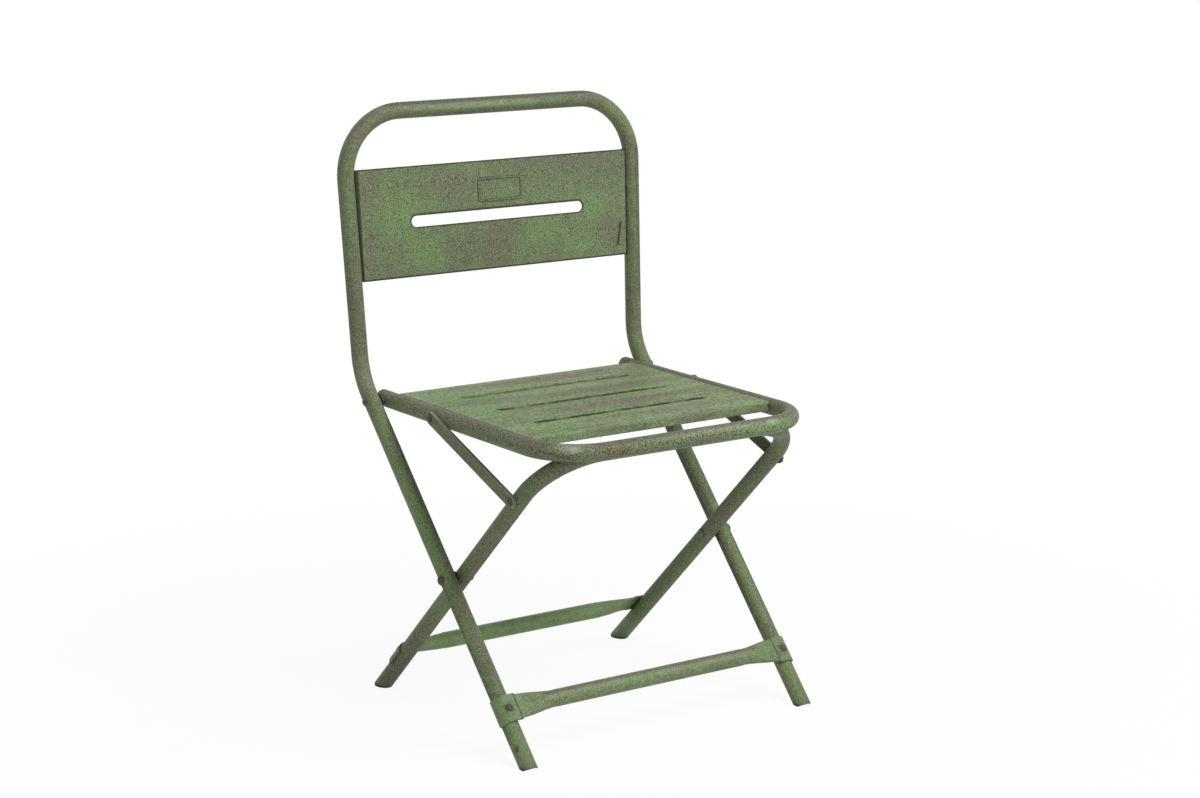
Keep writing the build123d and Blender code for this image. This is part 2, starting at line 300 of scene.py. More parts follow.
def vector_node(tree, operation, *values, result="Vector"):
    """Result socket of one Vector Math node: its vector, or its value."""
    node = put(tree, "ShaderNodeVectorMath", {"operation": operation})
    for socket, value in zip(node.inputs, values):
        feed(tree, socket, value)
    return node.outputs[result]


def opaque(colour):
    """A colour with its alpha."""
    return (*colour, 1.0)


def mix(tree, factor, first, second):
    """Colour socket of one Mix node."""
    node = put(tree, "ShaderNodeMix", {"data_type": "RGBA"})
    feed(tree, node.inputs[MIX_FACTOR], factor)
    feed(tree, node.inputs[MIX_FIRST], first)
    feed(tree, node.inputs[MIX_SECOND], second)
    return node.outputs[MIX_RESULT]


def band(tree, value, low, high, first=0.0, last=1.0):
    """Smooth step of a value from one result to another."""
    limits = {"From_Min": low, "From_Max": high, "To_Min": first, "To_Max": last}
    node = put(tree, "ShaderNodeMapRange", {"interpolation_type": "SMOOTHSTEP"}, Value=value, **limits)
    return node.outputs[0]


def noise(tree, vector, scale, detail=3.0, roughness=0.55):
    """Value socket of one Noise Texture."""
    node = put(
        tree, "ShaderNodeTexNoise", None, Vector=vector, Scale=scale, Detail=detail, Roughness=roughness
    )
    return node.outputs[0]


def new_group(name, inputs, outputs):
    """An empty shader node group with named sockets, and its two end nodes."""
    group = bpy.data.node_groups.new(name, "ShaderNodeTree")
    for label, kind, value in inputs:
        socket = group.interface.new_socket(name=label, in_out="INPUT", socket_type=kind)
        if value is not None:
            socket.default_value = value
    for label, kind in outputs:
        group.interface.new_socket(name=label, in_out="OUTPUT", socket_type=kind)
    return group, group.nodes.new("NodeGroupInput"), group.nodes.new("NodeGroupOutput")


def group_node(tree, name, make, **inputs):
    """A node that holds the group of that name, which is made the first time it is asked for."""
    group = bpy.data.node_groups.get(name) or make(name)
    return put(tree, "ShaderNodeGroup", {"node_tree": group}, **inputs)


# Node groups that several materials share


def make_aged_paint(name):
    """Green paint with brown stain, chalky patches and long scuffs."""
    group, given, result = new_group(
        name,
        [
            ("Vector", VECTOR, None),
            ("Green", COLOUR, None),
            ("Pale", COLOUR, None),
            ("Patina", COLOUR, None),
            ("Umber", COLOUR, None),
            ("Grime", COLOUR, None),
            ("Stain", VALUE, 0.5),
            ("Chalk", VALUE, 0.3),
            ("Scuffs", VALUE, 0.5),
            ("Graze", VECTOR, TUBE_GRAZE),
            ("Stretch", VECTOR, EVEN),
        ],
        [("Color", COLOUR), ("Stained", VALUE)],
    )
    at = given.outputs
    drawn = vector_node(group, "MULTIPLY", at["Vector"], at["Stretch"])
    clouds = noise(group, drawn, CLOUDS, detail=4.0, roughness=0.6)
    wisps = noise(group, drawn, WISPS, detail=4.0, roughness=0.62)
    patchy = math_node(group, "MULTIPLY_ADD", wisps, 0.45, math_node(group, "MULTIPLY", clouds, 0.75))
    shift = math_node(group, "MULTIPLY_ADD", at["Stain"], 0.36, -0.18)
    stained = band(group, math_node(group, "ADD", patchy, shift), low=0.44, high=0.80)
    colour = mix(group, stained, at["Green"], at["Patina"])
    mottle = noise(group, at["Vector"], MOTTLE, detail=3.0, roughness=0.6)
    colour = mix(group, band(group, mottle, low=0.35, high=0.75, last=0.26), colour, at["Grime"])
    chalky = noise(group, drawn, CHALK, detail=4.0, roughness=0.65)
    chalk = math_node(group, "MULTIPLY", band(group, chalky, low=0.52, high=0.72), at["Chalk"])
    colour = mix(group, chalk, colour, at["Pale"])
    grazed = vector_node(group, "MULTIPLY", at["Vector"], at["Graze"])
    scuffed = noise(group, grazed, SCUFFS, detail=4.0, roughness=0.62)
    scuff = math_node(group, "MULTIPLY", band(group, scuffed, low=0.50, high=0.62), at["Scuffs"])
    colour = mix(group, scuff, colour, at["Umber"])
    group.links.new(colour, result.inputs["Color"])
    group.links.new(stained, result.inputs["Stained"])
    return group


def make_pitting(name):
    """Speckle, dark pits, flakes and pale flecks over a coat of paint, with their roughness and relief."""
    group, given, result = new_group(
        name,
        [
            ("Vector", VECTOR, None),
            ("Color", COLOUR, None),
            ("Stained", VALUE, 0.5),
            ("Fresh", COLOUR, None),
            ("Pale", COLOUR, None),
            ("Umber", COLOUR, None),
            ("Grime", COLOUR, None),
            ("Pits", VALUE, 0.5),
            ("Grain", VALUE, 0.002),
        ],
        [("Color", COLOUR), ("Roughness", VALUE), ("Height", VALUE)],
    )
    at = given.outputs
    pitch = math_node(group, "DIVIDE", 1.0, at["Grain"])
    aside = vector_node(group, "ADD", at["Vector"], (3.1, 1.7, 0.4))
    speckle = noise(group, aside, math_node(group, "MULTIPLY", pitch, 0.7), detail=2.0, roughness=0.5)
    colour = mix(group, band(group, speckle, low=0.50, high=0.68, last=0.36), at["Color"], at["Umber"])
    colour = mix(group, band(group, speckle, low=0.50, high=0.34, last=0.34), colour, at["Fresh"])
    pits = noise(group, at["Vector"], pitch, detail=2.0, roughness=0.5)
    pitted = math_node(group, "MULTIPLY", band(group, pits, low=0.46, high=0.70), at["Pits"])
    colour = mix(group, pitted, colour, at["Grime"])
    flakes = noise(group, aside, math_node(group, "MULTIPLY", pitch, 0.55), detail=3.0, roughness=0.62)
    flaked = math_node(group, "MULTIPLY", band(group, flakes, low=0.58, high=0.70, last=0.55), at["Pits"])
    colour = mix(group, flaked, colour, at["Grime"])
    flecks = band(group, pits, low=0.45, high=0.31, last=0.46)
    colour = mix(group, flecks, colour, at["Pale"])
    group.links.new(colour, result.inputs["Color"])
    rough = math_node(group, "MULTIPLY_ADD", at["Stained"], 0.12, 0.41)
    rough = math_node(group, "MULTIPLY_ADD", pitted, 0.22, rough, clamp=True)
    group.links.new(rough, result.inputs["Roughness"])
    height = math_node(group, "MULTIPLY_ADD", pits, -1.0, 1.0)
    height = math_node(group, "MULTIPLY_ADD", flaked, -0.8, height)
    group.links.new(height, result.inputs["Height"])
    return group


def make_edge_wear(name):
    """Mask of the sharp edges of a piece, broken up by noise."""
    group, given, result = new_group(
        name,
        [("Vector", VECTOR, None), ("Width", VALUE, 0.0014)],
        [("Mask", VALUE)],
    )
    rounded = put(group, "ShaderNodeBevel", {"samples": 6}, Radius=given.outputs["Width"]).outputs[0]
    facing = put(group, "ShaderNodeNewGeometry").outputs["Normal"]
    agreement = vector_node(group, "DOT_PRODUCT", rounded, facing, result="Value")
    turn = math_node(group, "SUBTRACT", 1.0, agreement)
    broken = noise(group, given.outputs["Vector"], EDGE_BREAKS, detail=3.0, roughness=0.6)
    share = band(group, broken, low=0.30, high=0.60, first=0.35, last=1.3)
    turn = math_node(group, "MULTIPLY", turn, share)
    group.links.new(band(group, turn, low=0.015, high=0.13), result.inputs["Mask"])
    return group


def make_placed_stain(name):
    """Mask of one stain: a soft egg round a place, with a ragged rim."""
    group, given, result = new_group(
        name,
        [
            ("Vector", VECTOR, None),
            ("Place", VECTOR, None),
            ("Reach", VECTOR, (0.05, 0.05, 0.05)),
            ("Ragged", VALUE, 0.5),
            ("Scale", VALUE, STAIN_RIM),
        ],
        [("Mask", VALUE)],
    )
    at = given.outputs
    offset = vector_node(group, "SUBTRACT", at["Vector"], at["Place"])
    reach = vector_node(group, "DIVIDE", offset, at["Reach"])
    far = vector_node(group, "LENGTH", reach, result="Value")
    rim = noise(group, at["Vector"], at["Scale"], detail=4.0, roughness=0.65)
    rim = math_node(group, "SUBTRACT", rim, 0.5)
    far = math_node(group, "MULTIPLY_ADD", rim, math_node(group, "MULTIPLY", at["Ragged"], 2.0), far)
    group.links.new(band(group, far, low=1.15, high=0.15), result.inputs["Mask"])
    return group


def make_streak(name):
    """Mask of one streak: all that lies near the line between two points, with a ragged rim."""
    group, given, result = new_group(
        name,
        [
            ("Vector", VECTOR, None),
            ("Start", VECTOR, None),
            ("End", VECTOR, None),
            ("Reach", VALUE, 0.006),
            ("Ragged", VALUE, 1.6),
        ],
        [("Mask", VALUE)],
    )
    at = given.outputs
    offset = vector_node(group, "SUBTRACT", at["Vector"], at["Start"])
    whole = vector_node(group, "SUBTRACT", at["End"], at["Start"])
    along = vector_node(group, "DOT_PRODUCT", offset, whole, result="Value")
    square = vector_node(group, "DOT_PRODUCT", whole, whole, result="Value")
    share = math_node(group, "DIVIDE", along, square, clamp=True)
    nearest = put(group, "ShaderNodeVectorMath", {"operation": "SCALE"}, Vector=whole, Scale=share)
    far = vector_node(group, "DISTANCE", offset, nearest.outputs[0], result="Value")
    rim = noise(group, at["Vector"], STREAK_RIM, detail=4.0, roughness=0.65)
    rim = math_node(group, "SUBTRACT", rim, 0.5)
    far = math_node(group, "DIVIDE", far, at["Reach"])
    far = math_node(group, "MULTIPLY_ADD", rim, at["Ragged"], far)
    group.links.new(band(group, far, low=1.20, high=0.25), result.inputs["Mask"])
    return group


def make_slot_distance(name):
    """Distance out from the rim of a long slot that runs across the chair."""
    group, given, result = new_group(
        name,
        [
            ("Vector", VECTOR, None),
            ("Middle", VECTOR, None),
            ("Beside", VECTOR, UP),
            ("Half", VALUE, 0.1),
            ("Radius", VALUE, 0.005),
        ],
        [("Distance", VALUE)],
    )
    at = given.outputs
    offset = vector_node(group, "SUBTRACT", at["Vector"], at["Middle"])
    across = put(group, "ShaderNodeSeparateXYZ", None, Vector=offset).outputs["X"]
    past = math_node(group, "SUBTRACT", math_node(group, "ABSOLUTE", across), at["Half"])
    past = math_node(group, "MAXIMUM", past, 0.0)
    beside = vector_node(group, "DOT_PRODUCT", offset, at["Beside"], result="Value")
    square = math_node(group, "MULTIPLY_ADD", past, past, math_node(group, "MULTIPLY", beside, beside))
    far = math_node(group, "SUBTRACT", math_node(group, "SQRT", square), at["Radius"])
    group.links.new(far, result.inputs["Distance"])
    return group


# Marks on the paint: each is a colour's name, a strength, a kind and the values of that kind's mask


def stain_mask(tree, vector, place, reach, ragged=0.5, scale=STAIN_RIM):
    """Mask of one stain round a place."""
    values = {"Place": place, "Reach": reach, "Ragged": ragged, "Scale": scale}
    return group_node(tree, "Placed stain", make_placed_stain, Vector=vector, **values).outputs["Mask"]


def streak_mask(tree, vector, start, end, reach, ragged=1.6):
    """Mask of one streak between two points."""
    values = {"Start": start, "End": end, "Reach": reach, "Ragged": ragged}
    return group_node(tree, "Streak", make_streak, Vector=vector, **values).outputs["Mask"]


def line_mask(tree, vector, weights, start, width):
    """Mask of what lies past a plane, given by the weights of x, y and z, with a soft strip before it."""
    past = vector_node(tree, "DOT_PRODUCT", vector, weights, result="Value")
    return band(tree, math_node(tree, "SUBTRACT", past, start), low=-width, high=0.0)


def slot_mask(tree, vector, middle, beside, half, radius, far, near, broken=0.0):
    """Mask of the rim of one long slot, from nothing at the far distance to all at the near one.

    broken is the share of the rim that noise may take away.
    """
    values = {"Middle": middle, "Beside": beside, "Half": half, "Radius": radius}
    slot = group_node(tree, "Slot distance", make_slot_distance, Vector=vector, **values)
    rim = band(tree, slot.outputs["Distance"], low=far, high=near)
    if broken:
        gaps = noise(tree, vector, SLOT_BREAKS, detail=2.0)
        rim = math_node(tree, "MULTIPLY", rim, band(tree, gaps, low=0.40, high=0.58, first=1.0 - broken))
    return rim


# Kinds of mark that lie under the pits of the paint, and those that lie over them
STAINS = {"stain": stain_mask, "wash": line_mask, "streak": streak_mask}
OUTLINES = {"scratch": streak_mask, "ring": stain_mask, "line": line_mask, "slot": slot_mask}


def leg_skin(leg, side, turn, height):
    """Point on the skin of a leg at a height, by the turn in degrees from its outer side to the front."""
    across, splay, start, slope = LEGS[leg]
    axis = Vector((side * (across + splay * height), start + slope * height, height))
    front = Vector((0.0, -1.0, slope)).normalized()
    way = Vector((side, 0.0, 0.0)) * math.cos(math.radians(turn)) + front * math.sin(math.radians(turn))
    return axis + way * TUBE_RADIUS


def leg_tone_and_shade_streak(colour, strength, leg, side, turn, high, low, reach):
    """Mark of one streak along a leg, between two heights; such streaks paint a brown tone, a highlight down
    the lit side of the tube and shade down its edges.
    """
    ends = [leg_skin(leg, side, turn, height) for height in (high, low)]
    return colour, strength, "streak", *ends, reach


def stretcher_tone_and_shade_streak(colour, strength, stretcher, turn, reach):
    """Mark of one streak along a stretcher, by the turn in degrees from its front towards its top; such
    streaks paint a brown edge, a highlight on the lit side and shade along the bottom.
    """
    depth, height = STRETCHERS[stretcher]
    depth -= TUBE_RADIUS * math.cos(math.radians(turn))
    height += TUBE_RADIUS * math.sin(math.radians(turn))
    ends = [(side * STRETCHER_SPAN, depth, height) for side in (-1, 1)]
    return colour, strength, "streak", *ends, reach


def lay_marks(tree, vector, colour, marks, masks):
    """Colour with the marks of some kinds laid over it, in their order."""
    paint = bpy.context.scene.chair_paint
    for label, strength, kind, *values in marks:
        if kind in masks:
            mask = math_node(tree, "MULTIPLY", masks[kind](tree, vector, *values), strength)
            colour = mix(tree, mask, colour, opaque(getattr(paint, label)))
    return colour


def wear_edges(tree, vector, colour, label, strength, start):
    """Colour with the sharp edges worn, past a distance to either side of the chair's middle."""
    paint = bpy.context.scene.chair_paint
    worn = group_node(tree, "Edge wear", make_edge_wear, Vector=vector, Width=paint.edge)
    edges = math_node(tree, "MULTIPLY", worn.outputs["Mask"], strength)
    if start:
        across = put(tree, "ShaderNodeSeparateXYZ", None, Vector=vector).outputs["X"]
        outside = band(tree, math_node(tree, "ABSOLUTE", across), low=start - STRAP_FADE, high=start)
        edges = math_node(tree, "MULTIPLY", edges, outside)
    return mix(tree, edges, colour, opaque(getattr(paint, label)))


def wear_feet(tree, vector, colour):
    """Colour with stain, rust and a dark rim where the feet meet the floor."""
    paint = bpy.context.scene.chair_paint
    height = put(tree, "ShaderNodeSeparateXYZ", None, Vector=vector).outputs["Z"]
    ragged = math_node(tree, "MULTIPLY_ADD", noise(tree, vector, FOOT_RIM), 0.016, -0.008)
    ragged = math_node(tree, "ADD", height, ragged)
    colour = mix(tree, band(tree, ragged, low=0.050, high=0.004, last=0.35), colour, opaque(paint.patina))
    colour = mix(tree, band(tree, ragged, low=0.010, high=0.001, last=0.45), colour, opaque(paint.rust))
    return mix(tree, band(tree, height, low=0.0045, high=0.0020, last=0.85), colour, opaque(paint.grime))


def coats(paint, *labels):
    """Colours of the paint by the names of a group's inputs."""
    return {label.capitalize(): opaque(getattr(paint, label)) for label in labels}


def paint_material(
    name,
    stain,
    chalk,
    pits,
    scuffs=0.5,
    tint=None,
    marks=(),
    edge="grime",
    edge_strength=0.75,
    edge_start=0.0,
    foot_wear=False,
    gloss=0.10,
    stretch=EVEN,
    graze=TUBE_GRAZE,
    grain_stretch=EVEN,
):
    """Worn paint for one group of pieces, by the share of its stain, chalk, pits and scuffs."""
    paint = bpy.context.scene.chair_paint
    material = bpy.data.materials.new(name)
    material.use_nodes = True
    tree = material.node_tree
    shader = tree.nodes["Principled BSDF"]
    place = tree.nodes.new("ShaderNodeTexCoord").outputs["Object"]
    aged = group_node(
        tree,
        "Aged paint",
        make_aged_paint,
        Vector=place,
        Green=opaque(paint.green if tint is None else tint),
        Stain=stain,
        Chalk=chalk,
        Scuffs=scuffs,
        Graze=graze,
        Stretch=stretch,
        **coats(paint, "pale", "patina", "umber", "grime"),
    )
    colour = lay_marks(tree, place, aged.outputs["Color"], marks, STAINS)
    pitted = group_node(
        tree,
        "Pitting",
        make_pitting,
        Vector=vector_node(tree, "MULTIPLY", place, grain_stretch),
        Color=colour,
        Stained=aged.outputs["Stained"],
        Pits=pits,
        Grain=paint.grain,
        **coats(paint, "fresh", "pale", "umber", "grime"),
    )
    colour = lay_marks(tree, place, pitted.outputs["Color"], marks, OUTLINES)
    colour = wear_edges(tree, place, colour, edge, edge_strength, edge_start)
    if foot_wear:
        colour = wear_feet(tree, place, colour)
    tree.links.new(colour, shader.inputs["Base Color"])
    tree.links.new(pitted.outputs["Roughness"], shader.inputs["Roughness"])
    shader.inputs["Specular IOR Level"].default_value = gloss
    relief = {"Strength": BUMP_STRENGTH, "Distance": paint.relief}
    bump = put(tree, "ShaderNodeBump", None, Height=pitted.outputs["Height"], **relief)
    tree.links.new(bump.outputs[0], shader.inputs["Normal"])
    return material


def dress(node_names, material):
    """Puts a material on the slots of some CAD nodes."""
    for name in node_names:
        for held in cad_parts[name].material_slots:
            held.material = material


def shade_of_green(context, share):
    """The sound paint, made darker or brighter."""
    return Vector(context.scene.chair_paint.green) * share


def clear_selection():
    """Nothing selected, nothing active."""
    for thing in bpy.context.selected_objects:
        thing.select_set(False)
    bpy.context.view_layer.objects.active = None


# One operator for each group of like pieces


class CHAIR_OT_back_frame(bpy.types.Operator):
    """Paints the bent tube of the back and front legs"""

    bl_idname = "chair.back_frame"
    bl_label = "Paint the back frame"

    def execute(self, context):
        marks = [
            ("umber", 0.75, "wash", UP, 0.7768, 0.0024),
            ("grime", 0.52, "wash", UP, 0.7772, 0.0020),
            ("umber", 0.70, "stain", (-0.196, 0.222, 0.748), (0.070, 0.05, 0.045)),
            ("fresh", 0.45, "stain", (0.205, 0.222, 0.745), (0.045, 0.05, 0.045)),
            # A painted highlight along the upper front of the top bar
            ("pale", 0.80, "stain", (-0.030, 0.213, 0.7705), (0.150, 0.03, 0.0055)),
            ("patina", 0.45, "stain", (-0.214, 0.205, 0.570), (0.012, 0.03, 0.090)),
            ("fresh", 0.35, "stain", (-0.234, 0.205, 0.640), (0.012, 0.03, 0.060)),
            ("pale", 0.30, "stain", (-0.222, 0.180, 0.430), (0.03, 0.03, 0.035)),
            ("fresh", 0.35, "stain", (-0.226, 0.150, 0.372), (0.03, 0.03, 0.030)),
            ("pale", 0.32, "stain", (-0.226, 0.075, 0.300), (0.012, 0.09, 0.100)),
            ("umber", 0.35, "stain", (0.222, 0.010, 0.220), (0.03, 0.05, 0.050)),
            ("grime", 0.16, "stain", (0.000, 0.222, 0.768), (0.240, 0.05, 0.020)),
            ("fresh", 0.40, "stain", (-0.217, -0.175, 0.020), (0.03, 0.05, 0.050)),
            ("fresh", 0.40, "stain", (-0.219, -0.060, 0.140), (0.03, 0.06, 0.060)),
            ("fresh", 0.40, "stain", (0.219, -0.150, 0.040), (0.03, 0.05, 0.050)),
            # Streaks down the front legs: painted highlight on the lit side, painted shade down the edges,
            # and one brown streak
            leg_tone_and_shade_streak("fresh", 0.50, "front", -1, 35, 0.36, 0.19, 0.007),
            leg_tone_and_shade_streak("grime", 0.46, "front", -1, 132, 0.37, 0.21, 0.007),
            leg_tone_and_shade_streak("grime", 0.70, "front", -1, -25, 0.20, 0.03, 0.0085),
            leg_tone_and_shade_streak("umber", 0.75, "front", -1, 80, 0.17, 0.09, 0.006),
            leg_tone_and_shade_streak("fresh", 0.25, "front", -1, 45, 0.055, 0.0, 0.009),
            leg_tone_and_shade_streak("fresh", 0.42, "front", 1, 108, 0.28, 0.09, 0.006),
            leg_tone_and_shade_streak("grime", 0.75, "front", 1, 205, 0.36, 0.09, 0.0080),
            leg_tone_and_shade_streak("grime", 0.50, "front", 1, 45, 0.20, 0.09, 0.006),
            leg_tone_and_shade_streak("fresh", 0.35, "front", 1, 127, 0.05, 0.0, 0.008),
            # Painted shade down one edge of each post
            ("grime", 0.55, "streak", (-0.2320, 0.2089, 0.50), (-0.2359, 0.2240, 0.70), 0.0055),
            ("grime", 0.45, "streak", (0.2272, 0.1956, 0.50), (0.2311, 0.2107, 0.70), 0.0060),
            ("grime", 0.90, "ring", leg_skin("front", -1, 36, 0.019), (0.004, 0.004, 0.006), 0.9, GLINT_RIM),
            # Painted shade on the upper front leg under the seat, in brown and dark tones
            ("umber", 0.80, "stain", (0.219, 0.105, 0.330), (0.03, 0.05, 0.050)),
            ("grime", 0.55, "stain", (0.219, 0.110, 0.335), (0.03, 0.05, 0.050)),
            ("grime", 0.42, "stain", (0.219, 0.055, 0.270), (0.05, 0.10, 0.100)),
        ]
        material = paint_material(
            "Worn paint, back frame",
            stain=0.46,
            chalk=0.28,
            pits=0.62,
            scuffs=0.75,
            tint=shade_of_green(context, 0.84),
            marks=marks,
            foot_wear=True,
        )
        dress(["back_frame"], material)
        return {"FINISHED"}


class CHAIR_OT_seat_frame(bpy.types.Operator):
    """Paints the U-shaped tube of the seat"""

    bl_idname = "chair.seat_frame"
    bl_label = "Paint the seat frame"

    def execute(self, context):
        marks = [
            ("umber", 0.75, "wash", SEAT_NORMAL, 0.4052, 0.0026),
            ("grime", 0.20, "wash", SEAT_NORMAL, 0.4062, 0.0020),
            ("umber", 0.85, "stain", (-0.197, 0.040, 0.406), (0.020, 0.200, 0.012)),
            ("fresh", 0.45, "stain", (-0.206, 0.130, 0.396), (0.008, 0.040, 0.012)),
            ("rust", 0.90, "stain", (-0.108, -0.236, 0.394), (0.016, 0.014, 0.008)),
            ("rust", 0.70, "stain", (-0.130, -0.236, 0.397), (0.010, 0.014, 0.006)),
            # Painted highlights on the front-left elbow and along the top of the front bar
            ("pale", 0.90, "stain", (-0.168, -0.212, 0.403), (0.034, 0.024, 0.008)),
            ("pale", 0.75, "stain", (0.060, -0.233, 0.402), (0.150, 0.014, 0.0045)),
            ("umber", 0.55, "stain", (0.020, -0.237, 0.394), (0.050, 0.020, 0.010)),
            ("fresh", 0.80, "stain", (0.120, -0.236, 0.395), (0.060, 0.020, 0.010)),
            ("grime", 0.90, "stain", (0.195, 0.172, 0.404), (0.020, 0.018, 0.020)),
            # Pale chips on the front bar, painted near-white as glints
            ("pale", 0.95, "ring", (-0.172, -0.222, 0.402), (0.011, 0.012, 0.005), 0.9, GLINT_RIM),
            ("pale", 0.95, "ring", (0.122, -0.233, 0.402), (0.012, 0.012, 0.0035), 0.9, GLINT_RIM),
        ]
        material = paint_material(
            "Worn paint, seat frame",
            stain=0.46,
            chalk=0.36,
            pits=0.92,
            scuffs=0.3,
            tint=shade_of_green(context, 0.94),
            marks=marks,
        )
        dress(["seat_frame"], material)
        return {"FINISHED"}


class CHAIR_OT_rear_legs(bpy.types.Operator):
    """Paints the rear leg frame, which is browner than the rest, and the rivet painted over with it"""

    bl_idname = "chair.rear_legs"
    bl_label = "Paint the rear legs"

    def execute(self, context):
        marks = [
            ("umber", 0.85, "stain", (-0.195, 0.160, 0.045), (0.030, 0.080, 0.075)),
            ("grime", 0.28, "stain", (-0.195, 0.165, 0.040), (0.030, 0.080, 0.075)),
            # A painted highlight on the elbow of the rear hoop
            ("pale", 0.50, "stain", (0.175, -0.205, 0.385), (0.035, 0.030, 0.030)),
            ("fresh", 0.40, "stain", (-0.195, 0.030, 0.160), (0.030, 0.060, 0.060)),
            ("pale", 0.30, "stain", (-0.140, -0.190, 0.390), (0.050, 0.030, 0.020)),
            # Painted shade down the edges of the rear legs and painted highlight down their lit sides
            leg_tone_and_shade_streak("grime", 0.52, "rear", -1, 118, 0.33, 0.04, 0.007),
            leg_tone_and_shade_streak("fresh", 0.45, "rear", -1, -30, 0.31, 0.21, 0.006),
            leg_tone_and_shade_streak("grime", 0.60, "rear", 1, 222, 0.34, 0.05, 0.007),
            leg_tone_and_shade_streak("fresh", 0.20, "rear", 1, 130, 0.20, 0.05, 0.006),
            # Paler, fresher green at the left rear foot, partly painted light that lifts the shade there
            ("fresh", 0.80, "stain", (0.195, 0.180, 0.020), (0.035, 0.060, 0.055)),
            ("pale", 0.40, "stain", (0.195, 0.185, 0.015), (0.035, 0.050, 0.045)),
        ]
        material = paint_material(
            "Worn paint, rear legs",
            stain=0.62,
            chalk=0.16,
            pits=0.72,
            scuffs=0.80,
            tint=shade_of_green(context, 0.72),
            marks=marks,
            foot_wear=True,
        )
        dress(["rear_leg_frame", PAINTED_RIVET], material)
        return {"FINISHED"}


class CHAIR_OT_stretchers(bpy.types.Operator):
    """Paints the two stretchers with their flattened ends, browned where they wrap the rear legs"""

    bl_idname = "chair.stretchers"
    bl_label = "Paint the stretchers"

    def execute(self, context):
        self.paint_front(context)
        self.paint_rear(context)
        return {"FINISHED"}

    @staticmethod
    def paint_front(context):
        """Brown and dark rings round the rivets, a dark seam, and streaks along the tube: a brown top edge,
        a painted highlight below it and painted shade along the bottom.
        """
        marks = []
        for side in (-1, 1):
            rivet = (STRAP_RIVET[0] * side, *STRAP_RIVET[1:])
            seam = ((STRAP_RIVET[0] - STRAP_SEAM) * side, *STRAP_RIVET[1:])
            marks += [
                ("umber", 0.75, "stain", rivet, (0.011, 0.011, 0.011)),
                ("grime", 0.60, "ring", rivet, (0.0078, 0.0078, 0.0078), 0.2, FINE_RIM),
                ("grime", 0.75, "ring", seam, (0.0016, 0.040, 0.040), 0.2, FINE_RIM),
            ]
        # Streaks along the tube: brown top edge, painted highlight, and painted shade along the bottom
        marks += [
            stretcher_tone_and_shade_streak("umber", 0.85, "front", 80, 0.0055),
            stretcher_tone_and_shade_streak("pale", 0.45, "front", 38, 0.0042),
            stretcher_tone_and_shade_streak("grime", 0.25, "front", -60, 0.0050),
        ]
        material = paint_material(
            "Worn paint, front stretcher",
            stain=0.24,
            chalk=0.42,
            pits=0.50,
            scuffs=0.2,
            tint=shade_of_green(context, 1.08),
            marks=marks,
            edge_strength=0.65,
            edge_start=STRAP_START,
        )
        dress(["front_stretcher"], material)

    @staticmethod
    def paint_rear(context):
        """Brown wraps, and streaks along the tube, one of them a thin painted highlight along its top."""
        marks = []
        for side in (-1, 1):
            marks += [
                ("umber", 0.75, "stain", (0.200 * side, 0.155, 0.065), (0.030, 0.060, 0.060)),
                ("grime", 0.45, "stain", (0.206 * side, 0.158, 0.066), (0.020, 0.060, 0.060)),
            ]
        # Streaks along the tube, among them a thin painted highlight along the top
        marks += [
            stretcher_tone_and_shade_streak("pale", 0.50, "rear", 96, 0.0030),
            stretcher_tone_and_shade_streak("grime", 0.10, "rear", 60, 0.0060),
            stretcher_tone_and_shade_streak("fresh", 0.55, "rear", -30, 0.0050),
        ]
        material = paint_material(
            "Worn paint, rear stretcher",
            stain=0.0,
            chalk=0.40,
            pits=0.34,
            scuffs=0.1,
            tint=shade_of_green(context, 1.66),
            marks=marks,
            edge_strength=0.65,
            edge_start=STRAP_START,
        )
        dress(["rear_stretcher"], material)


class CHAIR_OT_links(bpy.types.Operator):
    """Paints the two flat links: the right one with pale worn edges that also stand as a painted highlight,
    the left one painted dark all over as the shade it lies in under the seat
    """

    bl_idname = "chair.links"
    bl_label = "Paint the links"

    def execute(self, context):
        dull = shade_of_green(context, 0.82)
        # The right link's pale worn edges also stand as a painted highlight along them
        right = paint_material(
            "Worn paint, right link",
            stain=0.66,
            chalk=0.20,
            pits=0.60,
            tint=dull,
            edge="pale",
            edge_strength=0.6,
        )
        dress(["right_link"], right)
        # The left link is painted dark all over as the shade it lies in under the seat
        painted_shade_all_over = [("grime", 0.93, "stain", (0.208, -0.050, 0.362), (1.0, 1.0, 1.0))]
        left = paint_material(
            "Sooty paint, left link",
            stain=0.66,
            chalk=0.10,
            pits=0.70,
            tint=dull,
            marks=painted_shade_all_over,
            edge_strength=0.4,
        )
        dress(["left_link"], left)
        return {"FINISHED"}


